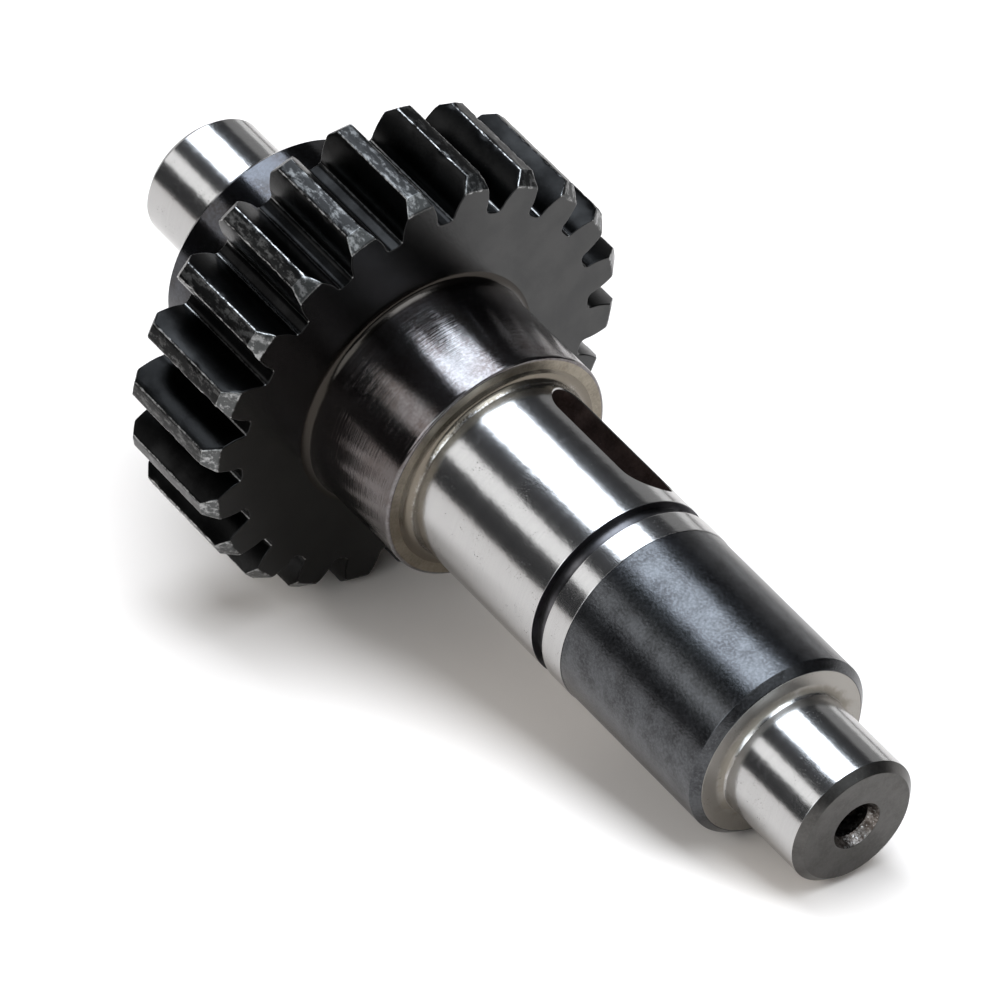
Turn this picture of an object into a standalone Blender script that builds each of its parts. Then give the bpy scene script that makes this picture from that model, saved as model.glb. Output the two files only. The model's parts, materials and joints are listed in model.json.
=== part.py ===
# Transmission shaft: a stepped steel shaft with a spur gear, journals, a keyed seat and a
# retaining-ring groove, all cut from one piece.
# Lengths are in metres. The blank is turned about its own Z axis, from the rear end at zero to the
# front end. The finished shaft then lies as it comes to rest, on two gear teeth and on its nose.
import math

import bmesh
import bpy
from mathutils import Matrix, Vector

MM = 0.001

# Gear
TEETH = 22
MODULE = 2.5 * MM
PRESSURE_ANGLE = math.radians(20)
PROFILE_SHIFT = 0.3
ADDENDUM = 0.8
DEDENDUM = 1.25
GEAR_WIDTH = 16.5 * MM
ROOT_FILLET = 0.8 * MM
TOOTH_FRONT_CHAMFER = 1.5 * MM
TOOTH_REAR_CHAMFER = 0.5 * MM

# Lengths along the shaft, from rear to front
REAR_JOURNAL_LENGTH = 15.0 * MM
REAR_COLLAR_LENGTH = 13.0 * MM
FRONT_COLLAR_LENGTH = 15.9 * MM
SEAT_LENGTH = 24.0 * MM
GROOVE_WIDTH = 2.0 * MM
LAND_LENGTH = 3.5 * MM
NOSE_LENGTH = 25.5 * MM
FRONT_JOURNAL_LENGTH = 14.0 * MM

# Radius of the ground seat, and the heights of the steps up or down from it
SEAT_RADIUS = 12.5 * MM
GROOVE_DEPTH = 0.9 * MM
NOSE_RELIEF = 0.1 * MM
FRONT_SHOULDER_HEIGHT = 4.0 * MM
COLLAR_HEIGHT = 3.2 * MM
REAR_SHOULDER_HEIGHT = 7.2 * MM

# Edges and inside corners
JOURNAL_CHAMFER = 1.0 * MM
NOSE_CHAMFER = 1.0 * MM
REAR_COLLAR_CHAMFER = 0.8 * MM
FRONT_COLLAR_ROUND = 1.0 * MM
HUB_FILLET = 1.0 * MM
SEAT_FILLET = 1.0 * MM
JOURNAL_FILLET = 0.5 * MM

# Keyway, centred on a tooth gap of the gear
KEY_WIDTH = 8.0 * MM
KEY_DEPTH = 4.0 * MM
KEY_REAR_MARGIN = 1.5 * MM
KEY_FRONT_MARGIN = 2.5 * MM
KEY_PITCHES_FROM_TOP = 2

# Centre hole in the front end
HOLE_RADIUS = 2.5 * MM
HOLE_DEPTH = 10.0 * MM
HOLE_POINT_ANGLE = math.radians(118)
COUNTERSINK_RADIUS = 3.25 * MM
COUNTERSINK_ANGLE = math.radians(60)

# Facets
SIDES_PER_TOOTH = 4
ARC_STEPS = 3
FLANK_STEPS = 5
SLOT_END_STEPS = 10
CUTTER_MARGIN = 1.0 * MM
MERGE_DISTANCE = 0.001 * MM
SHARP_ANGLE = math.radians(30)

# Gear circles, from the module and the tooth count
pitch_radius = MODULE * TEETH / 2
base_radius = pitch_radius * math.cos(PRESSURE_ANGLE)
tip_radius = pitch_radius + MODULE * (ADDENDUM + PROFILE_SHIFT)
root_radius = pitch_radius - MODULE * (DEDENDUM - PROFILE_SHIFT)
tooth_pitch = 2 * math.pi / TEETH

# Radii of the turned steps
nose_radius = SEAT_RADIUS - NOSE_RELIEF
front_journal_radius = SEAT_RADIUS - FRONT_SHOULDER_HEIGHT
collar_radius = SEAT_RADIUS + COLLAR_HEIGHT
rear_journal_radius = collar_radius - REAR_SHOULDER_HEIGHT

# Places along the shaft where one step ends and the next begins
rear_shoulder_z = REAR_JOURNAL_LENGTH
gear_rear_z = rear_shoulder_z + REAR_COLLAR_LENGTH
gear_front_z = gear_rear_z + GEAR_WIDTH
seat_rear_z = gear_front_z + FRONT_COLLAR_LENGTH
groove_rear_z = seat_rear_z + SEAT_LENGTH
groove_front_z = groove_rear_z + GROOVE_WIDTH
land_front_z = groove_front_z + LAND_LENGTH
front_shoulder_z = land_front_z + NOSE_LENGTH
front_end_z = front_shoulder_z + FRONT_JOURNAL_LENGTH


def clear_scene():
    for old in list(bpy.data.objects):
        bpy.data.objects.remove(old, do_unlink=True)


def arc(centre_r, centre_z, radius, start_degrees, end_degrees):
    """Points of an arc in the turning plane, where 0 degrees points outward and 90 to the front."""
    points = []
    for step in range(ARC_STEPS + 1):
        angle = math.radians(start_degrees + (end_degrees - start_degrees) * step / ARC_STEPS)
        points.append((centre_r + radius * math.cos(angle), centre_z + radius * math.sin(angle)))
    return points


def centre_hole_profile():
    point_depth = HOLE_RADIUS / math.tan(HOLE_POINT_ANGLE / 2)
    countersink_depth = (COUNTERSINK_RADIUS - HOLE_RADIUS) / math.tan(COUNTERSINK_ANGLE / 2)
    return [
        (0.0, front_end_z - HOLE_DEPTH - point_depth),
        (HOLE_RADIUS, front_end_z - HOLE_DEPTH),
        (HOLE_RADIUS, front_end_z - countersink_depth),
        (COUNTERSINK_RADIUS, front_end_z),
    ]


def front_profile():
    """The front journal, the dark nose with its chamfer, the land and the ring groove."""
    points = [
        (front_journal_radius - JOURNAL_CHAMFER, front_end_z),
        (front_journal_radius, front_end_z - JOURNAL_CHAMFER),
    ]
    corner_r = front_journal_radius + JOURNAL_FILLET
    points += arc(corner_r, front_shoulder_z + JOURNAL_FILLET, JOURNAL_FILLET, 180, 270)
    points += [
        (nose_radius - NOSE_CHAMFER, front_shoulder_z),
        (nose_radius, front_shoulder_z - NOSE_CHAMFER),
        (nose_radius, land_front_z),
        (SEAT_RADIUS, land_front_z),
        (SEAT_RADIUS, groove_front_z),
        (SEAT_RADIUS - GROOVE_DEPTH, groove_front_z),
        (SEAT_RADIUS - GROOVE_DEPTH, groove_rear_z),
        (SEAT_RADIUS, groove_rear_z),
    ]
    return points


def collar_and_gear_profile():
    """The seat's rear corner, the front collar, the gear's rim and the rear collar."""
    points = arc(SEAT_RADIUS + SEAT_FILLET, seat_rear_z + SEAT_FILLET, SEAT_FILLET, 180, 270)
    round_r = collar_radius - FRONT_COLLAR_ROUND
    points += arc(round_r, seat_rear_z - FRONT_COLLAR_ROUND, FRONT_COLLAR_ROUND, 90, 0)
    points += arc(collar_radius + HUB_FILLET, gear_front_z + HUB_FILLET, HUB_FILLET, 180, 270)
    points += [
        (tip_radius - TOOTH_FRONT_CHAMFER, gear_front_z),
        (tip_radius, gear_front_z - TOOTH_FRONT_CHAMFER),
        (tip_radius, gear_rear_z + TOOTH_REAR_CHAMFER),
        (tip_radius - TOOTH_REAR_CHAMFER, gear_rear_z),
    ]
    points += arc(collar_radius + HUB_FILLET, gear_rear_z - HUB_FILLET, HUB_FILLET, 90, 180)
    points += [
        (collar_radius, rear_shoulder_z + REAR_COLLAR_CHAMFER),
        (collar_radius - REAR_COLLAR_CHAMFER, rear_shoulder_z),
    ]
    return points


def rear_profile():
    corner_r = rear_journal_radius + JOURNAL_FILLET
    points = arc(corner_r, rear_shoulder_z - JOURNAL_FILLET, JOURNAL_FILLET, 90, 180)
    points += [
        (rear_journal_radius, JOURNAL_CHAMFER),
        (rear_journal_radius - JOURNAL_CHAMFER, 0.0),
        (0.0, 0.0),
    ]
    return points


def turned_profile():
    """The whole outline as (radius, place along the shaft), from the hole's tip to the rear end."""
    return centre_hole_profile() + front_profile() + collar_and_gear_profile() + rear_profile()


def turned_blank(profile):
    """The profile spun once round the shaft's axis, which its two ends lie on."""
    shape = bmesh.new()
    points = [shape.verts.new((radius, 0, z)) for radius, z in profile]
    edges = [shape.edges.new(pair) for pair in zip(points, points[1:])]
    bmesh.ops.spin(
        shape,
        geom=points + edges,
        cent=(0, 0, 0),
        axis=(0, 0, 1),
        angle=2 * math.pi,
        steps=TEETH * SIDES_PER_TOOTH,
        use_merge=True,
    )
    bmesh.ops.remove_doubles(shape, verts=shape.verts, dist=MERGE_DISTANCE)
    return finished_mesh("transmission_shaft", shape)


def involute(angle):
    return math.tan(angle) - angle


def half_gap_angle(radius):
    """Half the angle that the gap between two teeth spans at this radius."""
    thickness = MODULE * (math.pi / 2 + 2 * PROFILE_SHIFT * math.tan(PRESSURE_ANGLE))
    flank_radius = min(max(radius, base_radius), tip_radius)
    flank_angle = math.acos(base_radius / flank_radius)
    half_tooth = thickness / (2 * pitch_radius) + involute(PRESSURE_ANGLE) - involute(flank_angle)
    return tooth_pitch / 2 - half_tooth


def tooth_gap_outline():
    """The gap's outline across the shaft, as (outward, sideways), centred on the outward axis."""
    join_radius = root_radius + ROOT_FILLET
    outer_radius = tip_radius / math.cos(tooth_pitch / 2) + CUTTER_MARGIN
    tip_angle = half_gap_angle(tip_radius)
    half = [(outer_radius * math.cos(tip_angle), outer_radius * math.sin(tip_angle))]
    for step in range(FLANK_STEPS + 1):
        radius = tip_radius + (join_radius - tip_radius) * step / FLANK_STEPS
        angle = half_gap_angle(radius)
        half.append((radius * math.cos(angle), radius * math.sin(angle)))
    centre_out, side = half[-1]
    fillet = min(ROOT_FILLET, side)
    for step in range(1, ARC_STEPS + 1):
        angle = math.pi / 2 * step / ARC_STEPS
        across = side - fillet + fillet * math.cos(angle)
        half.append((centre_out - fillet * math.sin(angle), across))
    return half + [(outward, -across) for outward, across in reversed(half)]


def prism(shape, near_end, far_end):
    """Adds the closed prism between two outlines that match point for point."""
    near = [shape.verts.new(point) for point in near_end]
    far = [shape.verts.new(point) for point in far_end]
    shape.faces.new(near)
    shape.faces.new(list(reversed(far)))
    for index in range(len(near)):
        following = (index + 1) % len(near)
        shape.faces.new((near[index], far[index], far[following], near[following]))


def finished_mesh(name, shape):
    bmesh.ops.recalc_face_normals(shape, faces=shape.faces)
    mesh = bpy.data.meshes.new(name)
    shape.to_mesh(mesh)
    shape.free()
    return mesh


def add_object(name, mesh):
    added = bpy.data.objects.new(name, mesh)
    bpy.context.collection.objects.link(added)
    return added


def add_cutter(name, shape):
    cutter = add_object(name, finished_mesh(name, shape))
    cutter.hide_render = True
    cutter.display_type = "WIRE"
    return cutter


def tooth_gap_cutter():
    """One prism for each gap, longer than the gear at both of its faces."""
    shape = bmesh.new()
    rear = gear_rear_z - CUTTER_MARGIN
    front = gear_front_z + CUTTER_MARGIN
    gap_outline = tooth_gap_outline()
    for tooth in range(TEETH):
        turned = Matrix.Rotation(tooth * tooth_pitch, 3, "Z")
        rear_end = [turned @ Vector((out, side, rear)) for out, side in gap_outline]
        front_end = [turned @ Vector((out, side, front)) for out, side in gap_outline]
        prism(shape, rear_end, front_end)
    return add_cutter("tooth_gap_cutter", shape)


def keyway_outline():
    """A slot with round ends, as (sideways, place along the shaft)."""
    end_radius = KEY_WIDTH / 2
    rear_centre = seat_rear_z + KEY_REAR_MARGIN + end_radius
    front_centre = groove_rear_z - KEY_FRONT_MARGIN - end_radius
    outline = []
    for centre, start in ((front_centre, 0.0), (rear_centre, math.pi)):
        for step in range(SLOT_END_STEPS + 1):
            angle = start + math.pi * step / SLOT_END_STEPS
            outline.append((end_radius * math.cos(angle), centre + end_radius * math.sin(angle)))
    return outline


def keyway_cutter():
    """The slot's prism, which stands on the keyway's flat floor."""
    shape = bmesh.new()
    floor = SEAT_RADIUS - KEY_DEPTH
    top = SEAT_RADIUS + CUTTER_MARGIN
    turned = Matrix.Rotation(-KEY_PITCHES_FROM_TOP * tooth_pitch, 3, "Z")
    floor_end = [turned @ Vector((floor, side, z)) for side, z in keyway_outline()]
    top_end = [turned @ Vector((top, side, z)) for side, z in keyway_outline()]
    prism(shape, floor_end, top_end)
    return add_cutter("keyway_cutter", shape)


def cut_from(target, cutters):
    """Takes the cutters out of the target, then keeps the result as its plain mesh."""
    for cutter in cutters:
        cut = target.modifiers.new(cutter.name, "BOOLEAN")
        cut.operation = "DIFFERENCE"
        cut.solver = "EXACT"
        cut.object = cutter
    evaluated = target.evaluated_get(bpy.context.evaluated_depsgraph_get())
    target.data = bpy.data.meshes.new_from_object(evaluated)
    target.modifiers.clear()
    for cutter in cutters:
        bpy.data.objects.remove(cutter, do_unlink=True)


def steel():
    material = bpy.data.materials.new("dark_hardened_steel")
    material.use_nodes = True
    shader = material.node_tree.nodes["Principled BSDF"]
    shader.inputs["Base Color"].default_value = (0.07, 0.07, 0.075, 1)
    shader.inputs["Metallic"].default_value = 1.0
    shader.inputs["Roughness"].default_value = 0.35
    return material


def resting_place(profile):
    """The turn and the shift that lay the shaft on two gear teeth and the rim that it tips onto."""
    gap_angle = half_gap_angle(tip_radius)
    tooth_reach = tip_radius * math.cos(gap_angle)
    tooth_z = gear_front_z - TOOTH_FRONT_CHAMFER
    ahead = [(radius, z) for radius, z in profile if z > gear_front_z]
    tilt = min(math.atan((tooth_reach - radius) / (z - tooth_z)) for radius, z in ahead)
    turn = Matrix.Rotation(math.pi / 2 + tilt, 4, "Y") @ Matrix.Rotation(math.pi, 4, "Z")
    forward = [z * math.cos(tilt) + radius * math.sin(tilt) for radius, z in profile]
    backward = [z * math.cos(tilt) - radius * math.sin(tilt) for radius, z in profile]
    middle = (max(forward) + min(backward)) / 2
    height = tooth_z * math.sin(tilt) + tooth_reach * math.cos(tilt)
    return Matrix.Translation((-middle, 0, height)) @ turn


clear_scene()
outline = turned_profile()
shaft = add_object("transmission_shaft", turned_blank(outline))
cut_from(shaft, [tooth_gap_cutter(), keyway_cutter()])
shaft.data.name = "transmission_shaft"
shaft.data.materials.append(steel())
shaft.data.shade_smooth()
shaft.data.set_sharp_from_angle(angle=SHARP_ANGLE)
place = resting_place(outline)
shaft.location = place.to_translation()
shaft.rotation_euler = place.to_euler()
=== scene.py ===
import json
import math

import bpy
import numpy as np
from mathutils import Matrix, Quaternion, Vector


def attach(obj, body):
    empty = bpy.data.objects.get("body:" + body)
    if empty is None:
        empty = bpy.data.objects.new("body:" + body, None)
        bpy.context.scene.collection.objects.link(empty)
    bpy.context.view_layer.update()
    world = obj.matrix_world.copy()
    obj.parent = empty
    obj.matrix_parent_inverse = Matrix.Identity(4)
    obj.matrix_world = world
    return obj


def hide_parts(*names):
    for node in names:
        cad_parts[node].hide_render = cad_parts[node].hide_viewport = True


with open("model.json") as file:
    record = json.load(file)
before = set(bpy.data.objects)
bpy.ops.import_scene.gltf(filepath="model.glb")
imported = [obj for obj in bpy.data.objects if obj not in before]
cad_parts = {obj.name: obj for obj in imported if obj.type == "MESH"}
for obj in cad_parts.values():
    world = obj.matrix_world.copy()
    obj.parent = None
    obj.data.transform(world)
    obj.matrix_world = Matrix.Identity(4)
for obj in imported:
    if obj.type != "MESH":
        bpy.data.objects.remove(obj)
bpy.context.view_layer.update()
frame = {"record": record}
print("frame loaded")

# Lengths are in millimetres from the rear end of the shaft, until toWorld turns them into metres.
# The shaft's own axes: along the shaft, topward away from the floor, and sideward across both.
mounts = {mount["name"]: mount for mount in frame["record"]["mounts"]}
rearPoint = np.array(mounts["rear_end"]["pos_m"])
axis = np.array(mounts["front_end"]["axis"])
topward = np.array([-axis[2], 0.0, axis[0]])
sideward = np.cross(axis, topward)
metre = 1000.0              # in millimetres


def toWorld(along, up, side):
    # point = rear end + along x axis + up x topward + side x sideward, in metres
    parts = [np.multiply.outer(part, way) for part, way in ((along, axis), (up, topward), (side, sideward))]
    return rearPoint + sum(parts) / metre


def toShaft(points):
    # the same three coordinates back from points of the world
    offset = (points - rearPoint) * metre
    return offset @ axis, offset @ topward, offset @ sideward


def mountPlace(name):
    place = toShaft(np.array(mounts[name]["pos_m"]))
    return [float(part) for part in place]


shaft = {
    "sides": 288,               # facets round every turned piece
    "arcSteps": 3,              # facets across a rounded edge
    "runStep": 1.0,             # longest facet along the shaft
    "support": 0.1,             # narrow facet beside each rounded edge, which keeps the shading flat
    "plugDepth": 0.6,           # how far a piece reaches, unseen, into the next one
    "plugStep": 0.4,            # how much thinner than the nose the land is inside it
    "rearCollarLength": 13.0,
    "gearWidth": 16.5,
    "seatLength": 24.0,
    "grooveWidth": 2.0,
    "landLength": 3.5,
    "seatRadius": 12.5,
    "collarRadius": 15.7,
    "noseRadius": 12.4,
    "grooveRadius": 11.6,
    "journalRadius": 8.5,
}

rearShoulder = mountPlace("rear_bearing_shoulder")[0]
collarFace = mountPlace("collar_face")[0]
frontShoulder = mountPlace("front_bearing_shoulder")[0]
shaftLength = mountPlace("front_end")[0]
gearRear = rearShoulder + shaft["rearCollarLength"]
gearFront = gearRear + shaft["gearWidth"]
grooveRear = collarFace + shaft["seatLength"]
grooveFront = grooveRear + shaft["grooveWidth"]
landFront = grooveFront + shaft["landLength"]


# Meshes

def meshFrom(name, points, quads, triangles, finishes):
    mesh = bpy.data.meshes.new(name)
    corners = np.concatenate([quads.ravel(), triangles.ravel()])
    quadStarts = np.arange(len(quads)) * 4
    triangleStarts = quads.size + np.arange(len(triangles)) * 3
    mesh.vertices.add(len(points))
    mesh.vertices.foreach_set("co", points.astype(np.float32).ravel())
    mesh.loops.add(len(corners))
    mesh.loops.foreach_set("vertex_index", corners.astype(np.int32))
    mesh.polygons.add(len(quads) + len(triangles))
    mesh.polygons.foreach_set("loop_start", np.concatenate([quadStarts, triangleStarts]).astype(np.int32))
    mesh.update(calc_edges=True)
    mesh.validate()
    for finish in finishes:
        mesh.materials.append(finish)
    return mesh


def gridQuads(rows, columns, closed=False):
    # four corners for each cell of a grid that wraps round its columns, and round its rows too when closed
    here = np.arange(columns)
    beside = np.roll(here, -1)
    start = np.arange(rows)[:, None] * columns
    following = np.roll(start, -1, axis=0)
    if not closed:
        start, following = start[:-1], following[:-1]
    quads = np.stack([start + here, start + beside, following + beside, following + here], axis=-1)
    return quads.reshape(-1, 4)


def meshPoints(mesh):
    points = np.zeros(len(mesh.vertices) * 3, np.float32)
    mesh.vertices.foreach_get("co", points)
    return points.reshape(-1, 3).astype(float)


def faceCentres(mesh):
    centres = np.zeros(len(mesh.polygons) * 3, np.float32)
    mesh.polygons.foreach_get("center", centres)
    return centres.reshape(-1, 3).astype(float)


def setZones(mesh, zones):
    mesh.polygons.foreach_set("material_index", zones.astype(np.int32))


def setWear(mesh, name, weights):
    layer = mesh.attributes.get(name) or mesh.attributes.new(name, "FLOAT", "POINT")
    layer.data.foreach_set("value", np.clip(weights, 0, 1).astype(np.float32))


def smoothed(mesh, sharpDegrees=33):
    mesh.shade_smooth()
    mesh.set_sharp_from_angle(angle=math.radians(sharpDegrees))


def addPiece(mesh):
    piece = bpy.data.objects.new(mesh.name, mesh)
    bpy.context.scene.collection.objects.link(piece)
    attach(piece, "root")
    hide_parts("transmission_shaft")
    print(f"{mesh.name}: {len(mesh.vertices)} points")
    return piece


def waveNoise(points, size, seed, waves=40):
    # smooth noise: the sum of plane waves of about the given size in millimetres, with random
    # directions and phases, scaled to a spread of one
    random = np.random.default_rng(seed)
    ways = random.normal(size=(3, waves)) * 2 * math.pi / size / math.sqrt(3)
    phases = random.uniform(0, 2 * math.pi, waves)
    return np.cos(points @ ways + phases).sum(axis=1) * math.sqrt(2 / waves)


def roundedProfile(corners):
    # Each corner (along, radius, rounding) becomes an arc that touches both of its straight runs:
    # centre = corner + bisector x rounding / sin(half the angle), and the arc turns about the centre.
    # Points are complex numbers, along + i x radius.
    spots = [complex(along, radius) for along, radius, rounding in corners]
    arcs = [[spots[0]]]
    for index in range(1, len(corners) - 1):
        spot = spots[index]
        rounding = corners[index][2]
        back = (spots[index - 1] - spot) / abs(spots[index - 1] - spot)
        ahead = (spots[index + 1] - spot) / abs(spots[index + 1] - spot)
        if not rounding:
            arcs.append([spot])
            continue
        halfAngle = abs(np.angle(ahead / back)) / 2
        bisector = (back + ahead) / abs(back + ahead)
        centre = spot + bisector * rounding / math.sin(halfAngle)
        reach = rounding / math.tan(halfAngle)
        start = spot + back * reach - centre
        turn = np.angle((spot + ahead * reach - centre) / start)
        steps = np.arange(shaft["arcSteps"] + 1) / shaft["arcSteps"]
        arcs.append(list(centre + start * np.exp(1j * turn * steps)))
    arcs.append([spots[-1]])
    profile = list(arcs[0])
    for before, after in zip(arcs, arcs[1:]):
        run = after[0] - before[-1]
        facets = math.ceil(abs(run) / shaft["runStep"])
        shares = np.arange(1, facets) / facets
        margin = shaft["support"] / abs(run)
        if margin < 0.25:
            shares = shares[(shares > margin * 1.5) & (shares < 1 - margin * 1.5)]
            shares = np.concatenate([[margin], shares, [1 - margin]])
        profile += list(before[-1] + run * shares) + list(after)
    return np.array(profile)


def turned(name, corners, finishes, zoneOf=None):
    # surface(profile place, angle) = along x axis + radius x (cosine topward + sine sideward);
    # the profile starts and ends on the axis, where each end closes in a pole, and zoneOf gives the
    # number of the finish for a face at (along, radius)
    profile = roundedProfile(corners)
    rows = profile[1:-1]
    sides = shaft["sides"]
    angles = np.arange(sides) * 2 * math.pi / sides
    along = np.repeat(rows.real, sides)
    up = np.outer(rows.imag, np.cos(angles)).ravel()
    side = np.outer(rows.imag, np.sin(angles)).ravel()
    points = toWorld(along, up, side)
    poles = toWorld(profile[[0, -1]].real, np.zeros(2), np.zeros(2))
    here = np.arange(sides)
    beside = np.roll(here, -1)
    rearPole = len(points)
    frontPole = rearPole + 1
    last = (len(rows) - 1) * sides
    rearFan = np.stack([np.full(sides, rearPole), beside, here], axis=-1)
    frontFan = np.stack([last + here, last + beside, np.full(sides, frontPole)], axis=-1)
    triangles = np.concatenate([rearFan, frontFan])
    mesh = meshFrom(name, np.concatenate([points, poles]), gridQuads(len(rows), sides), triangles, finishes)
    if zoneOf:
        along, up, side = toShaft(faceCentres(mesh))
        setZones(mesh, zoneOf(along, np.hypot(up, side)))
    smoothed(mesh)
    return mesh


def markCorners(mesh, proud, hollow, reach=0.3):
    # wear = exp(-(distance to the nearest listed corner / reach) squared), in the plane of the profile:
    # "edge" for corners that stand proud and "corner" for those that hold dirt
    along, up, side = toShaft(meshPoints(mesh))
    radius = np.hypot(up, side)
    for name, spots, width in (("edge", proud, reach), ("corner", hollow, reach * 3)):
        weights = np.zeros(len(along))
        for spotAlong, spotRadius in spots:
            distance = np.hypot(along - spotAlong, radius - spotRadius)
            weights = np.maximum(weights, np.exp(-(distance / width) ** 2))
        setWear(mesh, name, weights)


def sootyHalf(angles, values):
    # painted shade = strength x (half + spread x cosine of the angle from the middle of the shaded half):
    # one half of a piece painted darker, standing in for darker reflections on that side
    turn = angles - math.radians(values["sootMiddle"])
    return values["soot"] * np.clip(0.5 + values["sootSpread"] * np.cos(turn), 0, 1)


# Shader nodes

def put(tree, kind, sockets, **settings):
    made = tree.nodes.new(kind)
    for key, value in settings.items():
        setattr(made, key, value)
    for key, value in sockets.items():
        if isinstance(value, bpy.types.NodeSocket):
            tree.links.new(value, made.inputs[key])
        else:
            made.inputs[key].default_value = value
    return made


def maths(tree, operation, first, second=0.0):
    return put(tree, "ShaderNodeMath", {0: first, 1: second}, operation=operation).outputs[0]


def times(tree, first, second):
    return maths(tree, "MULTIPLY", first, second)


def plus(tree, first, second):
    return maths(tree, "ADD", first, second)


def minus(tree, first, second):
    return maths(tree, "SUBTRACT", first, second)


def larger(tree, first, second):
    return maths(tree, "MAXIMUM", first, second)


def blend(tree, factor, first, second):
    # first where the factor is 0 and second where it is 1: colours if first is one, else plain numbers
    coloured = isinstance(first, tuple) or getattr(first, "type", "") == "RGBA"
    kind, inputs, output = ("RGBA", (6, 7), 2) if coloured else ("FLOAT", (2, 3), 0)
    sockets = {0: factor, inputs[0]: first, inputs[1]: second}
    return put(tree, "ShaderNodeMix", sockets, data_type=kind).outputs[output]


def span(tree, value, low, high, toLow=0.0, toHigh=1.0):
    # a smooth step from low to high
    sockets = {"Value": value, "From Min": low, "From Max": high, "To Min": toLow, "To Max": toHigh}
    return put(tree, "ShaderNodeMapRange", sockets, interpolation_type="SMOOTHSTEP").outputs["Result"]


def noise(tree, vector, scale, detail=3.0, roughness=0.55, distortion=0.0):
    return put(tree, "ShaderNodeTexNoise", {
        "Vector": vector, "Scale": scale, "Detail": detail, "Roughness": roughness,
        "Distortion": distortion}).outputs["Fac"]


def newGroup(name, inputs, build):
    # build(tree, given) makes the group's nodes and returns its outputs by name
    group = bpy.data.node_groups.new(name, "ShaderNodeTree")
    for label, value in inputs.items():
        vector = value is None
        kind = "NodeSocketVector" if vector else "NodeSocketFloat"
        socket = group.interface.new_socket(label, in_out="INPUT", socket_type=kind)
        if not vector:
            socket.default_value = value
    made = build(group, group.nodes.new("NodeGroupInput").outputs)
    for label in made:
        group.interface.new_socket(label, in_out="OUTPUT", socket_type="NodeSocketFloat")
    result = group.nodes.new("NodeGroupOutput")
    for label, socket in made.items():
        group.links.new(socket, result.inputs[label])
    return group


def grindingMarks(tree, given):
    # fine lines round the shaft and round its faces: noise that is long round the axis and short
    # across it, plus stray scratches where a second, slanted noise is near its middle
    place = given["Place"]
    parts = put(tree, "ShaderNodeSeparateXYZ", {0: place}).outputs
    squares = [maths(tree, "POWER", parts[part], 2.0) for part in (0, 1)]
    radius = maths(tree, "SQRT", plus(tree, squares[0], squares[1]))
    across = plus(tree, parts[2], times(tree, radius, 1.7))
    fine = maths(tree, "DIVIDE", across, given["Spacing"])
    drawnOut = put(tree, "ShaderNodeCombineXYZ", {
        0: times(tree, parts[0], 0.06), 1: times(tree, parts[1], 0.06), 2: fine}).outputs[0]
    slanted = put(tree, "ShaderNodeMapping", {
        "Vector": place, "Rotation": (0.2, 0.35, 0.3), "Scale": (0.05, 1.6, 0.12)}).outputs[0]
    nearMiddle = maths(tree, "ABSOLUTE", minus(tree, noise(tree, slanted, 1.0, 0.0), 0.5))
    gaps = span(tree, noise(tree, place, 0.4), 0.5, 0.6)
    thin = times(tree, span(tree, nearMiddle, 0.006, 0.0), gaps)
    return {
        "Lines": noise(tree, drawnOut, 1.0, 4.0, 0.65),
        "Scratch": times(tree, thin, given["Scratches"]),
    }


def oxideSkin(tree, given):
    # a heat-blackened skin: slow clouds, fine grain and scattered bright flecks
    place = given["Place"]
    cloudScale = maths(tree, "DIVIDE", 1.0, given["Cloud size"])
    grainScale = maths(tree, "DIVIDE", 1.0, given["Grain size"])
    flecks = noise(tree, place, times(tree, grainScale, 1.7), 2.0, 0.5)
    level = minus(tree, 0.78, times(tree, given["Fleck share"], 0.3))
    return {
        "Clouds": noise(tree, place, cloudScale, 4.0),
        "Grain": noise(tree, place, grainScale, 3.0, 0.7),
        "Flecks": span(tree, flecks, level, plus(tree, level, 0.07)),
    }


def wornEdges(tree, given):
    # bare metal where the edge weight, broken up by noise, is above a level
    patchScale = maths(tree, "DIVIDE", 1.0, given["Patch size"])
    patches = noise(tree, given["Place"], patchScale, 4.0, 0.65)
    reach = plus(tree, given["Edge"], times(tree, patches, 0.9))
    level = minus(tree, 1.55, given["Amount"])
    return {"Bare": span(tree, reach, minus(tree, level, 0.12), plus(tree, level, 0.12))}


def stainFilm(tree, given):
    # dried oil: patches that gather in the hollow corners
    patchScale = maths(tree, "DIVIDE", 1.0, given["Patch size"])
    patches = noise(tree, given["Place"], patchScale, 4.0, 0.55, 0.4)
    gathered = plus(tree, patches, times(tree, given["Corner"], 0.5))
    level = minus(tree, 0.8, times(tree, given["Amount"], 0.4))
    return {"Film": span(tree, gathered, minus(tree, level, 0.06), plus(tree, level, 0.26))}


grinding = newGroup("grinding marks", {"Place": None, "Spacing": 0.2, "Scratches": 0.3}, grindingMarks)
oxide = newGroup(
    "oxide skin", {"Place": None, "Cloud size": 4.0, "Grain size": 0.35, "Fleck share": 0.3}, oxideSkin)
worn = newGroup("worn edges", {"Place": None, "Edge": 0.0, "Amount": 0.5, "Patch size": 0.8}, wornEdges)
stain = newGroup("stain film", {"Place": None, "Corner": 0.0, "Amount": 0.3, "Patch size": 3.0}, stainFilm)
print("shared effects made")


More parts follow.
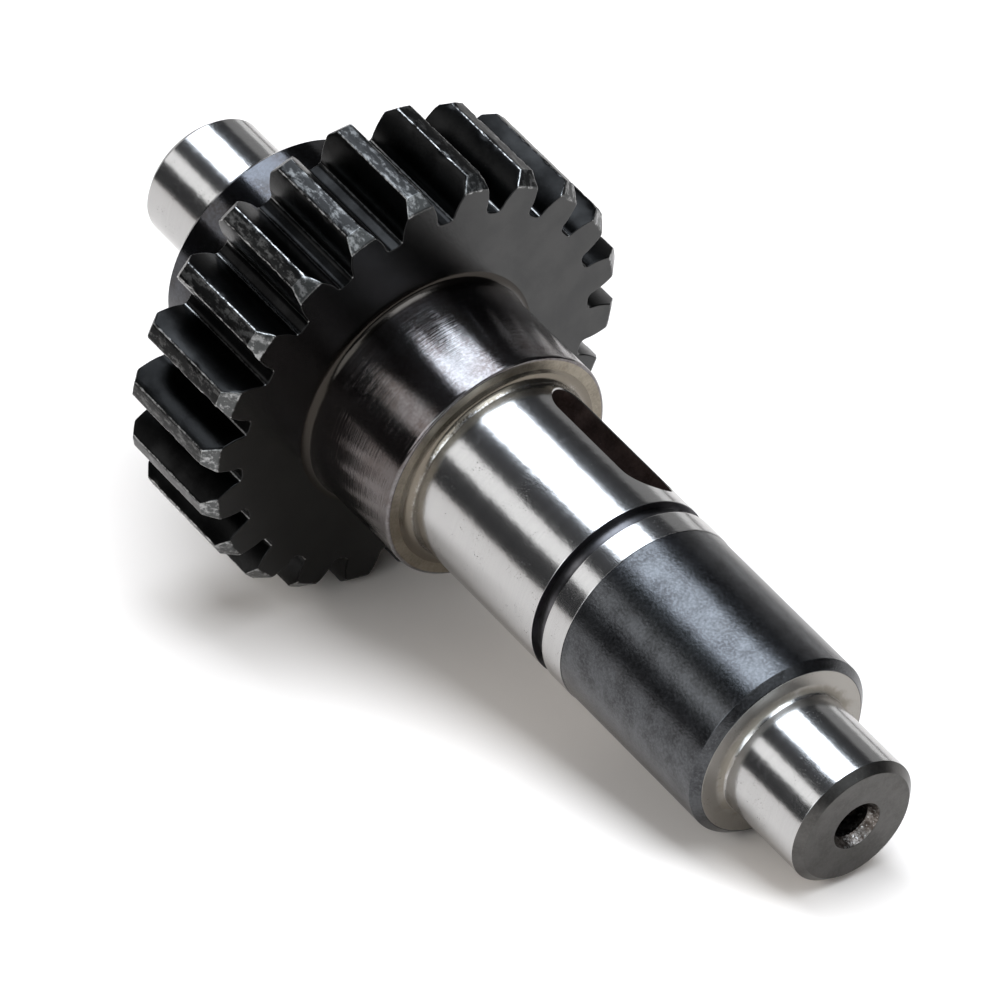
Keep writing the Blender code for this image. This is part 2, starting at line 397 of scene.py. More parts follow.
def newFinish(name):
    # the Mapping node turns the world's metres into millimetres on the shaft's own axes:
    # x topward, y sideward, z along
    finish = bpy.data.materials.new(name)
    finish.use_nodes = True
    tree = finish.node_tree
    turn = Matrix([topward, sideward, axis])
    start = -(turn @ Vector(rearPoint)) * metre
    world = put(tree, "ShaderNodeTexCoord", {}).outputs["Object"]
    place = put(tree, "ShaderNodeMapping", {
        "Vector": world, "Location": start, "Rotation": turn.to_euler(), "Scale": (metre, metre, metre)})
    shader = tree.nodes["Principled BSDF"]
    shader.inputs["Metallic"].default_value = 1.0
    return finish, tree, shader, place.outputs[0]


def placeGroup(tree, group, sockets):
    return put(tree, "ShaderNodeGroup", sockets, node_tree=group).outputs


def attribute(tree, name):
    # a weight stored on the mesh, and zero on a piece that doesn't have it
    return put(tree, "ShaderNodeAttribute", {}, attribute_name=name).outputs["Fac"]


def addMarks(tree, place, look):
    return placeGroup(tree, grinding, {
        "Place": place, "Spacing": look["lineSpacing"], "Scratches": look.get("scratches", 0)})


def addSkin(tree, place, look):
    return placeGroup(tree, oxide, {
        "Place": place, "Cloud size": look["cloudSize"], "Grain size": look["grainSize"],
        "Fleck share": look.get("flecks", 0)})


def addFilm(tree, place, look):
    return placeGroup(tree, stain, {
        "Place": place, "Corner": attribute(tree, "corner"), "Amount": look["film"],
        "Patch size": look["filmPatch"]})["Film"]


def addBare(tree, place, look, edge, amount):
    return placeGroup(tree, worn, {
        "Place": place, "Edge": attribute(tree, edge), "Amount": look[amount],
        "Patch size": look["wearPatch"]})["Bare"]


def roughly(tree, pattern, look):
    return blend(tree, pattern, look["rough"] - look["roughSpread"], look["rough"] + look["roughSpread"])


def connect(tree, shader, colour, roughness, height):
    # the height is in millimetres
    bump = put(tree, "ShaderNodeBump", {"Height": height, "Distance": 1 / metre, "Strength": 1.0})
    tree.links.new(colour, shader.inputs["Base Color"])
    tree.links.new(roughness, shader.inputs["Roughness"])
    tree.links.new(bump.outputs["Normal"], shader.inputs["Normal"])


filmStrength = 0.75             # how far a full film hides what is under it
bareRough = 0.3                 # roughness of bare steel at worn edges


def groundSteel(look):
    # bright ground metal with fine lines, dark specks and a stained film; where groundFrom is given,
    # the wheel didn't reach the metal behind it, and the border is ragged
    finish, tree, shader, place = newFinish(look["name"])
    marks = addMarks(tree, place, look)
    skin = addSkin(tree, place, look)
    film = addFilm(tree, place, look)
    steel = blend(tree, marks["Lines"], look["shade"], look["tint"])
    steel = blend(tree, times(tree, film, filmStrength), steel, look["filmTint"])
    steel = blend(tree, marks["Scratch"], steel, look["scratchTint"])
    specks = times(tree, skin["Flecks"], span(tree, skin["Clouds"], 0.5, 0.62))
    steel = blend(tree, specks, steel, look["speckTint"])
    rough = roughly(tree, marks["Lines"], look)
    rough = blend(tree, film, rough, look["rough"] + look["filmRougher"])
    rough = blend(tree, larger(tree, marks["Scratch"], specks), rough, look["markRough"])
    fine = plus(tree, marks["Lines"], times(tree, skin["Grain"], 0.3))
    height = plus(
        tree, times(tree, fine, look["lineDepth"]), times(tree, skin["Clouds"], look["waviness"]))
    if look.get("groundFrom"):
        along = put(tree, "ShaderNodeSeparateXYZ", {0: place}).outputs[2]
        ragged, speckled = [
            times(tree, minus(tree, skin[pattern], 0.5), look[amount])
            for pattern, amount in (("Clouds", "borderRaggedness"), ("Grain", "borderSpeckle"))]
        reached = plus(tree, along, plus(tree, ragged, speckled))
        border, reach = look["groundFrom"], look["borderReach"]
        unground = span(tree, reached, border + reach, border - reach)
        steel = blend(tree, unground, steel, look["unground"])
        rough = blend(tree, unground, rough, look["ungroundRough"])
    connect(tree, shader, steel, rough, height)
    return finish


def blackenedSteel(look):
    # oxide skin over steel: mottled, finely grained, darker where it is filmed and where painted shade
    # darkens one side, bare at its edges
    finish, tree, shader, place = newFinish(look["name"])
    skin = addSkin(tree, place, look)
    marks = addMarks(tree, place, look)
    bare = addBare(tree, place, look, "edge", "wear")
    film = addFilm(tree, place, look)
    cloudy = span(tree, skin["Clouds"], 0.35, 0.65)
    colour = blend(tree, cloudy, look["shade"], look["tint"])
    grained = span(tree, skin["Grain"], 0.35, 0.7, 0.0, look["grainContrast"])
    colour = blend(tree, grained, colour, look["grainTint"])
    # the film tint covers both the oil film and the painted shade on one side of the piece
    filmAndPaintedShade = larger(tree, times(tree, film, filmStrength), attribute(tree, "soot"))
    colour = blend(tree, filmAndPaintedShade, colour, look["filmTint"])
    flecked = times(tree, skin["Flecks"], look["fleckStrength"])
    colour = blend(tree, flecked, colour, look["bare"])
    colour = blend(tree, bare, colour, look["bare"])
    rough = roughly(tree, skin["Grain"], look)
    rough = blend(tree, bare, rough, bareRough)
    grain = times(tree, skin["Grain"], look["grainDepth"])
    height = plus(tree, grain, times(tree, marks["Lines"], look["lineDepth"]))
    connect(tree, shader, colour, rough, height)
    return finish


def toothSteel(look):
    # the gear's finish, zone by zone: black flanks, a clouded face with painted shade on one half, speckled
    # tips and bevels, and bare metal along the corners of the tips and the feet of the teeth
    finish, tree, shader, place = newFinish(look["name"])
    skin = addSkin(tree, place, look)
    marks = addMarks(tree, place, look)
    cloudy = span(tree, skin["Clouds"], 0.35, 0.65)
    turnedAndClouded = times(tree, plus(tree, cloudy, marks["Lines"]), 0.5)
    faceColour = blend(tree, turnedAndClouded, look["faceShade"], look["faceTint"])
    # painted shade: the face's darker half, standing in for the shadowed floor it reflects
    faceColour = blend(tree, attribute(tree, "soot"), faceColour, look["sootTint"])
    tip, bevel, face, hub = (attribute(tree, zone) for zone in ("tip", "bevel", "face", "hub"))
    colour = blend(tree, cloudy, look["toothShade"], look["toothTint"])
    for zone, tint in (
            (tip, look["tipTint"]), (bevel, look["bevelTint"]), (face, faceColour), (hub, look["hubTint"])):
        colour = blend(tree, zone, colour, tint)
    speckledZone = larger(tree, tip, bevel)
    stretched = put(tree, "ShaderNodeMapping", {"Vector": place, "Scale": look["speckScale"]}).outputs[0]
    blotches = noise(tree, stretched, 1.0, 4.0, 0.65)
    blotches = plus(tree, blotches, times(tree, skin["Grain"], 0.3))
    speckles = times(tree, speckledZone, span(tree, blotches, 0.62, 0.82))
    patchy = times(tree, speckles, look["speckle"])
    speckColour = blend(tree, bevel, look["speckTint"], look["bevelSpeckTint"])
    colour = blend(tree, patchy, colour, speckColour)
    corners = addBare(tree, place, look, "edge", "wear")
    feet = addBare(tree, place, look, "foot", "footWear")
    bare = larger(tree, corners, times(tree, feet, look["footStrength"]))
    colour = blend(tree, bare, colour, look["bare"])
    rough = roughly(tree, skin["Grain"], look)
    rough = blend(tree, face, rough, look["faceRough"])
    rough = blend(tree, hub, rough, look["hubRough"])
    rough = blend(tree, bare, rough, bareRough)
    connect(tree, shader, colour, rough, times(tree, skin["Grain"], look["grainDepth"]))
    return finish


# Finishes. Sizes and depths of a pattern are in millimetres.

seatLook = {
    "name": "groundSeat",
    "tint": (0.52, 0.515, 0.51, 1),
    "shade": (0.41, 0.41, 0.41, 1),
    "scratchTint": (0.35, 0.35, 0.35, 1),
    "speckTint": (0.13, 0.125, 0.12, 1),
    "filmTint": (0.25, 0.225, 0.185, 1),
    "film": 0.1,
    "filmPatch": 3.0,
    "rough": 0.17,
    "roughSpread": 0.04,
    "filmRougher": 0.2,         # how much rougher the film is than the steel
    "markRough": 0.4,           # in scratches and specks
    "scratches": 0.35,
    "lineSpacing": 0.16,
    "lineDepth": 0.0004,
    "cloudSize": 2.5,
    "grainSize": 0.3,
    "flecks": 0.5,
    "waviness": 0.03,           # slow unevenness, which ruffles the reflections
    "groundFrom": collarFace + 0.75,
    "borderRaggedness": 1.6,
    "borderSpeckle": 1.6,
    "borderReach": 0.35,
    "unground": (0.18, 0.16, 0.13, 1),
    "ungroundRough": 0.24,
}
journalLook = dict(seatLook, name="groundJournal", groundFrom=0, film=0.2)
shoulderLook = dict(
    journalLook, name="groundShoulder", rough=0.42, tint=(0.37, 0.355, 0.33, 1),
    shade=(0.34, 0.325, 0.30, 1), film=0.3, lineDepth=0.0001)
gearLook = {
    "name": "blackGear",
    "faceTint": (0.078, 0.078, 0.077, 1),
    "faceShade": (0.055, 0.056, 0.056, 1),
    "toothTint": (0.015, 0.015, 0.015, 1),
    "toothShade": (0.006, 0.006, 0.006, 1),
    "tipTint": (0.017, 0.017, 0.017, 1),
    "bevelTint": (0.085, 0.088, 0.088, 1),
    "hubTint": (0.036, 0.032, 0.028, 1),
    # painted shade on one half of the gear's faces
    "sootTint": (0.024, 0.024, 0.024, 1),
    "bare": (0.34, 0.34, 0.335, 1),
    "speckTint": (0.12, 0.12, 0.118, 1),
    "bevelSpeckTint": (0.38, 0.385, 0.385, 1),
    "speckle": 0.9,             # how strong the specks on tips and bevels are
    "wear": 0.2,                # bare metal along the tip corners
    "wearPatch": 0.9,
    "footWear": 0.3,            # and along the feet of the teeth
    "footStrength": 0.6,
    "speckScale": (1.2, 1.2, 0.5),           # the specks are drawn out along the shaft
    "lineSpacing": 1.6,
    "cloudSize": 5.0,
    "grainSize": 0.35,
    "grainDepth": 0.012,
    "rough": 0.3,
    "roughSpread": 0.06,
    "faceRough": 0.24,
    "hubRough": 0.17,
}
collarLook = {
    "name": "blackCollar",
    "tint": (0.18, 0.173, 0.174, 1),
    "shade": (0.11, 0.095, 0.092, 1),
    "grainTint": (0.29, 0.29, 0.30, 1),
    "bare": (0.50, 0.50, 0.49, 1),
    # also the colour of the painted shade on one side of the collar
    "filmTint": (0.082, 0.068, 0.064, 1),
    "grainContrast": 0.4,
    "film": 0.45,
    "filmPatch": 5.0,
    "rough": 0.12,
    "roughSpread": 0.05,
    "cloudSize": 4.0,
    "grainSize": 0.4,
    "flecks": 0.1,
    "fleckStrength": 0.25,
    "lineSpacing": 0.2,
    "grainDepth": 0.006,
    "lineDepth": 0.03,
    "wear": 0.1,
    "wearPatch": 1.2,
}
rearCollarLook = dict(
    collarLook, name="blackRearCollar", tint=(0.062, 0.064, 0.07, 1), shade=(0.04, 0.038, 0.038, 1),
    grainTint=(0.10, 0.105, 0.12, 1), filmTint=(0.03, 0.02, 0.02, 1), wear=-0.1, lineDepth=0.008)
collarFaceLook = dict(
    collarLook, name="ashenCollarFace", tint=(0.27, 0.24, 0.19, 1), shade=(0.20, 0.175, 0.137, 1),
    grainTint=(0.38, 0.345, 0.285, 1), filmTint=(0.2, 0.16, 0.115, 1), rough=0.33, lineDepth=0.002,
    cloudSize=2.0)
noseLook = dict(
    collarLook, name="charcoalNose", tint=(0.068, 0.071, 0.075, 1), shade=(0.038, 0.039, 0.041, 1),
    grainTint=(0.125, 0.13, 0.14, 1), filmTint=(0.052, 0.05, 0.048, 1), film=0.3, rough=0.25, wear=-0.4,
    lineDepth=0.002, grainDepth=0.018, grainSize=0.35, cloudSize=3.0, grainContrast=0.5)
endLook = dict(
    collarLook, name="darkEnd", tint=(0.088, 0.086, 0.083, 1), shade=(0.068, 0.066, 0.063, 1),
    grainTint=(0.12, 0.117, 0.112, 1), filmTint=(0.055, 0.048, 0.042, 1), film=0.35, rough=0.3, wear=-0.4,
    lineSpacing=0.25, lineDepth=0.002, cloudSize=3.0)
recessLook = dict(
    collarLook, name="brownRecess", tint=(0.07, 0.048, 0.042, 1), shade=(0.034, 0.022, 0.019, 1),
    grainTint=(0.09, 0.065, 0.058, 1), filmTint=(0.028, 0.017, 0.014, 1), film=0.4, rough=0.45, wear=-0.1,
    lineDepth=0.002, cloudSize=3.0)
holeLook = dict(
    recessLook, name="crustedHole", tint=(0.085, 0.07, 0.06, 1), shade=(0.03, 0.022, 0.018, 1),
    grainTint=(0.34, 0.32, 0.30, 1), filmTint=(0.05, 0.036, 0.03, 1), grainContrast=0.7, grainDepth=0.12,
    flecks=0.6, fleckStrength=0.9, rough=0.3, grainSize=0.7)
grooveLook = dict(
    recessLook, name="blackGroove", tint=(0.12, 0.118, 0.125, 1), shade=(0.08, 0.078, 0.083, 1),
    grainTint=(0.14, 0.14, 0.15, 1), filmTint=(0.02, 0.019, 0.019, 1), film=0.25, rough=0.3)

groundSeat = groundSteel(seatLook)
groundJournal = groundSteel(journalLook)
groundShoulder = groundSteel(shoulderLook)
blackGear = toothSteel(gearLook)
blackCollar = blackenedSteel(collarLook)
ashenCollarFace = blackenedSteel(collarFaceLook)
blackRearCollar = blackenedSteel(rearCollarLook)
charcoalNose = blackenedSteel(noseLook)
darkEnd = blackenedSteel(endLook)
brownRecess = blackenedSteel(recessLook)
crustedHole = blackenedSteel(holeLook)
blackGroove = blackenedSteel(grooveLook)
print("finishes made")


# Turned pieces, from the rear to the front. Each reaches a little way, unseen, into the next.

rearJournal = {"chamfer": 1.0, "edge": 0.08, "cornerFillet": 0.5, "shoulderWidth": 1.2}


def makeRearJournal():
    radius = shaft["journalRadius"]
    chamfer = rearJournal["chamfer"]
    edge = rearJournal["edge"]
    inside = rearShoulder + shaft["plugDepth"]
    corners = [
        (0, 0, 0),
        (0, radius - chamfer, edge),
        (chamfer, radius, edge),
        (rearShoulder, radius, rearJournal["cornerFillet"]),
        (rearShoulder, radius + rearJournal["shoulderWidth"], 0),
        (inside, radius + rearJournal["shoulderWidth"], 0),
        (inside, 0, 0),
    ]
    mesh = turned("rear_journal", corners, [groundJournal, darkEnd], lambda along, radius: along < chamfer)
    markCorners(mesh, [(0, radius - chamfer), (chamfer, radius)], [(rearShoulder, radius)])
    return addPiece(mesh)


rearCollar = {"chamfer": 0.8, "edge": 0.1}


def makeRearCollar():
    radius = shaft["collarRadius"]
    chamfer = rearCollar["chamfer"]
    edge = rearCollar["edge"]
    inside = gearRear + shaft["plugDepth"]
    corners = [
        (rearShoulder, 0, 0),
        (rearShoulder, radius - chamfer, edge),
        (rearShoulder + chamfer, radius, edge),
        (inside, radius, 0),
        (inside, 0, 0),
    ]
    mesh = turned("rear_collar", corners, [blackRearCollar])
    proud = [(rearShoulder, radius - chamfer), (rearShoulder + chamfer, radius)]
    markCorners(mesh, proud, [(gearRear, radius), (rearShoulder, shaft["journalRadius"])])
    return addPiece(mesh)


frontCollar = {
    "rimRound": 0.4,
    "faceInner": 14.0,          # radius where its face gives way to the seat's own fillet
    "wearReach": 0.4,
    "sootMiddle": 130,          # degrees round the shaft, the middle of the half darkened by painted shade
    "sootSpread": 1.6,          # how quickly that half begins and ends
    "soot": 0.7,
}


def makeFrontCollar():
    radius = shaft["collarRadius"]
    inside = gearFront - shaft["plugDepth"]
    behindFace = collarFace - shaft["plugDepth"]
    corners = [
        (inside, 0, 0),
        (inside, radius, 0),
        (collarFace, radius, frontCollar["rimRound"]),
        (collarFace, frontCollar["faceInner"], 0),
        (behindFace, frontCollar["faceInner"] - 0.2, 0),
        (behindFace, 0, 0),
    ]
    rimInner = radius - frontCollar["rimRound"]
    mesh = turned(
        "front_collar", corners, [blackCollar, ashenCollarFace],
        lambda along, radius: (along > collarFace - 0.08) & (radius < rimInner + 0.02))
    hollow = [(gearFront, radius), (collarFace, shaft["seatRadius"])]
    markCorners(mesh, [(collarFace, radius)], hollow, frontCollar["wearReach"])
    along, up, side = toShaft(meshPoints(mesh))
    # painted shade on one half of the collar's cylinder
    half = sootyHalf(np.arctan2(side, up), frontCollar)
    setWear(mesh, "soot", (along < collarFace - 0.3) * half)
    return addPiece(mesh)


keyedSeat = {
    "fillet": 0.9,
    "edge": 0.06,
    "slotWidth": 8.0,
    "slotRearMargin": 1.5,      # from the collar face to the rear end of the keyway
    "slotFrontMargin": 2.5,     # from the keyway to the ring groove
    "slotChamfer": 0.14,
    "slotFloorRound": 0.25,
    "slotSteps": 48,            # points round each end of the keyway
}


floorUp, floorSide = mountPlace("keyway_floor")[1:]
slotAngle = math.atan2(floorSide, floorUp)
slotFloor = math.hypot(floorUp, floorSide)
slotEndRadius = keyedSeat["slotWidth"] / 2
slotRearCentre = collarFace + keyedSeat["slotRearMargin"] + slotEndRadius
slotFrontCentre = grooveRear - keyedSeat["slotFrontMargin"] - slotEndRadius


def slotOutline(offset):
    # a straight slot with round ends, moved outward by offset: (across, along) for angles round both ends
    halfTurn = np.linspace(0, math.pi, keyedSeat["slotSteps"])
    angles = np.concatenate([halfTurn, halfTurn + math.pi])
    centres = np.repeat([slotFrontCentre, slotRearCentre], keyedSeat["slotSteps"])
    return (slotEndRadius + offset) * np.cos(angles), centres + (slotEndRadius + offset) * np.sin(angles)


def slotCoordinates(points):
    # (along, across the slot, height above the shaft's axis) of points of the world
    along, up, side = toShaft(points)
    cosine, sine = math.cos(slotAngle), math.sin(slotAngle)
    return along, side * cosine - up * sine, up * cosine + side * sine


def makeSlotCutter():
    # rings of the slot's outline, one above the other: a rounded floor, upright walls, and a flare
    # that follows the round surface and breaks the edge
    rounding = keyedSeat["slotFloorRound"]
    chamfer = keyedSeat["slotChamfer"]
    floorRings = [(-rounding, None), (-rounding * 0.3, None), (0, None)]
    edgeRings = [(0, -chamfer), (chamfer * 2, chamfer)]
    flare = []
    for offset, lift in floorRings + edgeRings:
        across, along = slotOutline(offset)
        if lift is None:
            drop = math.sqrt(max(rounding ** 2 - (rounding + offset) ** 2, 0))
            height = np.full(len(across), slotFloor + rounding - drop)
        else:
            height = np.sqrt(shaft["seatRadius"] ** 2 - across ** 2) + lift
        flare.append((across, along, height))
    across, along = slotOutline(chamfer * 2)
    flare.append((across, along, np.full(len(across), shaft["seatRadius"] + 1.5)))
    across, along, height = (np.array(part) for part in zip(*flare))
    up = height * math.cos(slotAngle) - across * math.sin(slotAngle)
    side = height * math.sin(slotAngle) + across * math.cos(slotAngle)
    points = toWorld(along.ravel(), up.ravel(), side.ravel())
    rings, count = across.shape
    here = np.arange(count)
    faces = gridQuads(rings, count).tolist()
    faces.append(here[::-1].tolist())
    faces.append((here + count * (rings - 1)).tolist())
    mesh = bpy.data.meshes.new("slot_cutter")
    mesh.from_pydata(points.tolist(), [], faces)
    cutter = bpy.data.objects.new("slot_cutter", mesh)
    bpy.context.scene.collection.objects.link(cutter)
    return cutter


def makeKeyedSeat():
    # the turned seat with the slot cut out of it
    radius = shaft["seatRadius"]
    inside = collarFace - shaft["plugDepth"]
    corners = [
        (inside, 0, 0),
        (inside, frontCollar["faceInner"], 0),
        (collarFace, frontCollar["faceInner"], 0),
        (collarFace, radius, keyedSeat["fillet"]),
        (grooveRear, radius, keyedSeat["edge"]),
        (grooveRear, 0, 0),
    ]
    finishes = [groundSeat, brownRecess, blackGroove]
    blank = bpy.data.objects.new("seat_blank", turned("seat_blank", corners, finishes))
    bpy.context.scene.collection.objects.link(blank)
    cutter = makeSlotCutter()
    cut = blank.modifiers.new("keyway", "BOOLEAN")
    cut.object = cutter
    cut.solver = "EXACT"
    evaluated = blank.evaluated_get(bpy.context.evaluated_depsgraph_get())
    mesh = bpy.data.meshes.new_from_object(evaluated)
    bpy.data.objects.remove(blank)
    bpy.data.objects.remove(cutter)
    mesh.name = "keyed_seat"
    mesh.materials.clear()
    for finish in finishes:
        mesh.materials.append(finish)
    along, across, height = slotCoordinates(faceCentres(mesh))
    nearSlot = (along > collarFace + 1) & (along < grooveRear - 1)
    inSlot = nearSlot & (np.hypot(across, height) < radius - 0.25)
    setZones(mesh, inSlot * 1 + (along > grooveRear - 0.02) * 2)
    markCorners(mesh, [(grooveRear, radius)], [(collarFace, radius)])
    markSlotEdge(mesh)
    smoothed(mesh)
    return addPiece(mesh)


def markSlotEdge(mesh):
    # the broken edge of the keyway: near the slot's outline and near the round surface
    along, across, height = slotCoordinates(meshPoints(mesh))
    beyond = along - np.clip(along, slotRearCentre, slotFrontCentre)
    fromOutline = np.abs(np.hypot(across, beyond) - slotEndRadius)
    below = shaft["seatRadius"] - np.hypot(across, height)
    rim = np.exp(-(fromOutline / 0.25) ** 2 - (np.maximum(below, 0) / 0.3) ** 2) * (height > 0)
    values = np.zeros(len(along), np.float32)
    mesh.attributes["edge"].data.foreach_get("value", values)
    setWear(mesh, "edge", np.maximum(values, rim))


def makeRingGroove():
    radius = shaft["grooveRadius"]
    reach = shaft["plugDepth"]
    corners = [
        (grooveRear - reach, 0, 0),
        (grooveRear - reach, radius, 0),
        (grooveFront + reach, radius, 0),
        (grooveFront + reach, 0, 0),
    ]
    mesh = turned("ring_groove", corners, [blackGroove])
    markCorners(mesh, [], [(grooveRear, radius), (grooveFront, radius)])
    return addPiece(mesh)


ringLand = {"edge": 0.08}


def makeRingLand():
    radius = shaft["seatRadius"]
    plugRadius = shaft["noseRadius"] - shaft["plugStep"]
    inside = landFront + shaft["plugDepth"]
    corners = [
        (grooveFront, 0, 0),
        (grooveFront, radius, ringLand["edge"]),
        (landFront, radius, ringLand["edge"] / 2),
        (landFront, plugRadius, 0),
        (inside, plugRadius, 0),
        (inside, 0, 0),
    ]
    finishes = [groundJournal, blackGroove]
    mesh = turned("ring_land", corners, finishes, lambda along, radius: along < grooveFront + 0.02)
    markCorners(mesh, [(grooveFront, radius), (landFront, radius)], [])
    return addPiece(mesh)


nose = {"chamfer": 1.0, "edge": 0.12, "rim": 0.05, "recess": 0.15}


def makeNose():
    radius = shaft["noseRadius"]
    chamfer = nose["chamfer"]
    inside = landFront - shaft["plugDepth"]
    recess = nose["recess"]     # behind the shoulder's face, which belongs to the front journal
    corners = [
        (inside, 0, 0),
        (inside, radius, 0),
        (frontShoulder - chamfer, radius, nose["edge"]),
        (frontShoulder, radius - chamfer, nose["rim"]),
        (frontShoulder - recess, radius - chamfer - recess, 0),
        (frontShoulder - recess, 0, 0),
    ]
    mesh = turned("nose", corners, [charcoalNose])
    proud = [(frontShoulder - chamfer, radius), (frontShoulder, radius - chamfer)]
    markCorners(mesh, proud, [])
    return addPiece(mesh)


frontJournal = {
    "chamfer": 1.0,
    "edge": 0.08,
    "cornerFillet": 0.9,
    "shoulderOuter": 11.36,
    "shoulderRim": 0.05,
    "shoulderDepth": 0.35,      # how much of the fillet has the shoulder's finish
    "countersinkRadius": 3.25,
    "countersinkDegrees": 60,
    "holeRadius": 2.5,
    "holeMouthRound": 0.1,
    "holeFloorRound": 0.2,
    "holeDepth": 10.0,
    "pointDegrees": 118,
}


def makeFrontJournal():
    radius = shaft["journalRadius"]
    chamfer = frontJournal["chamfer"]
    edge = frontJournal["edge"]
    inside = frontShoulder - shaft["plugDepth"]
    sink = frontJournal["countersinkRadius"] - frontJournal["holeRadius"]
    sinkDepth = sink / math.tan(math.radians(frontJournal["countersinkDegrees"] / 2))
    pointDepth = frontJournal["holeRadius"] / math.tan(math.radians(frontJournal["pointDegrees"] / 2))
    holeEnd = shaftLength - frontJournal["holeDepth"]
    corners = [
        (inside, 0, 0),
        (inside, frontJournal["shoulderOuter"], 0),
        (frontShoulder, frontJournal["shoulderOuter"], frontJournal["shoulderRim"]),
        (frontShoulder, radius, frontJournal["cornerFillet"]),
        (shaftLength - chamfer, radius, edge),
        (shaftLength, radius - chamfer, edge),
        (shaftLength, frontJournal["countersinkRadius"], edge),
        (shaftLength - sinkDepth, frontJournal["holeRadius"], frontJournal["holeMouthRound"]),
        (holeEnd, frontJournal["holeRadius"], frontJournal["holeFloorRound"]),
        (holeEnd - pointDepth, 0, 0),
    ]

    def zones(along, radius):
        nearShoulder = along < frontShoulder + frontJournal["shoulderDepth"]
        shoulder = nearShoulder & (radius > shaft["journalRadius"] + 0.05)
        hole = (along > frontShoulder) & (radius < frontJournal["countersinkRadius"] - 0.02)
        end = (along > shaftLength - chamfer) & ~hole
        return shoulder * 1 + end * 2 + hole * 3

    mesh = turned("front_journal", corners, [groundJournal, groundShoulder, darkEnd, crustedHole], zones)
    proud = [
        (shaftLength - chamfer, radius),
        (shaftLength, radius - chamfer),
        (shaftLength, frontJournal["countersinkRadius"]),
    ]
    markCorners(mesh, proud, [(frontShoulder, radius)])
    return addPiece(mesh)


# The gear

gear = {
    "teeth": 22,
    "module": 2.5,
    "pressureDegrees": 20,
    "profileShift": 0.3,
    "addendum": 0.8,
    "dedendum": 1.25,
    "rootFillet": 0.8,
    "frontChamfer": 1.5,
    "rearChamfer": 1.2,
    "tipRound": 0.22,
    "endRound": 0.14,
    "hubFillet": 1.0,
    "boreRadius": 15.0,         # unseen, inside the collars
    "sliceStep": 0.42,
    "floorPoints": 3,
    "filletPoints": 4,
    "flankPoints": 10,
    "roundPoints": 4,
    "landPoints": 4,
    "faceRadii": [24.5, 22.5, 20.5, 18.6, 17.4, 16.8],
    "nickDepth": 0.16,
    "nickSize": 1.1,
    "pitSize": 0.6,
    "wearReach": 0.3,
    "creaseReach": 0.25,
    "sootMiddle": 90,           # degrees round the shaft, the middle of the faces' half darkened by painted shade
    "sootSpread": 1.4,
    "soot": 0.75,
    "footLine": 0.22,           # height of the worn line over the root
    "footReach": 0.16,
}

pressureAngle = math.radians(gear["pressureDegrees"])
toothPitch = 2 * math.pi / gear["teeth"]
pitchRadius = gear["module"] * gear["teeth"] / 2
baseRadius = pitchRadius * math.cos(pressureAngle)
tipRadius = pitchRadius + gear["module"] * (gear["addendum"] + gear["profileShift"])
rootRadius = pitchRadius - gear["module"] * (gear["dedendum"] - gear["profileShift"])


def halfGap(radius):
    # half the angle of the gap between two teeth: half a pitch less half the involute tooth
    flank = np.arccos(baseRadius / np.clip(radius, baseRadius, None))
    thickness = gear["module"] * (math.pi / 2 + 2 * gear["profileShift"] * math.tan(pressureAngle))
    involute = (math.tan(pressureAngle) - pressureAngle) - (np.tan(flank) - flank)
    return toothPitch / 2 - (thickness / (2 * pitchRadius) + involute)


def gearSlices():
    # places across the gear's width and, for each, the tip radius there and how far the outline draws in
    ending = gear["endRound"]
    back = gear["rearChamfer"]
    bevel = gear["frontChamfer"]
    turns = np.radians([90, 60, 30, 0])
    nearRear = gearRear + back + np.array([-0.6, -0.12, 0.0, 0.12])
    middle = np.arange(gearRear + back + 0.4, gearFront - bevel - 0.4, gear["sliceStep"])
    nearFront = gearFront - bevel + np.array([-0.12, 0.0, 0.12, bevel * 0.4, bevel * 0.7])
    along = np.concatenate([
        gearRear + ending - ending * np.sin(turns), [gearRear + ending + 0.08], nearRear, middle,
        nearFront, [gearFront - ending - 0.08], gearFront - ending + ending * np.sin(turns[::-1])])
    drawn = np.zeros(len(along))
    drawn[:4] = ending - ending * np.cos(turns)
    drawn[-4:] = ending - ending * np.cos(turns[::-1])
    rearTips = tipRadius - back + (along - gearRear)
    frontTips = tipRadius - bevel + (gearFront - along)
    return along, np.minimum(tipRadius, np.minimum(rearTips, frontTips)), drawn


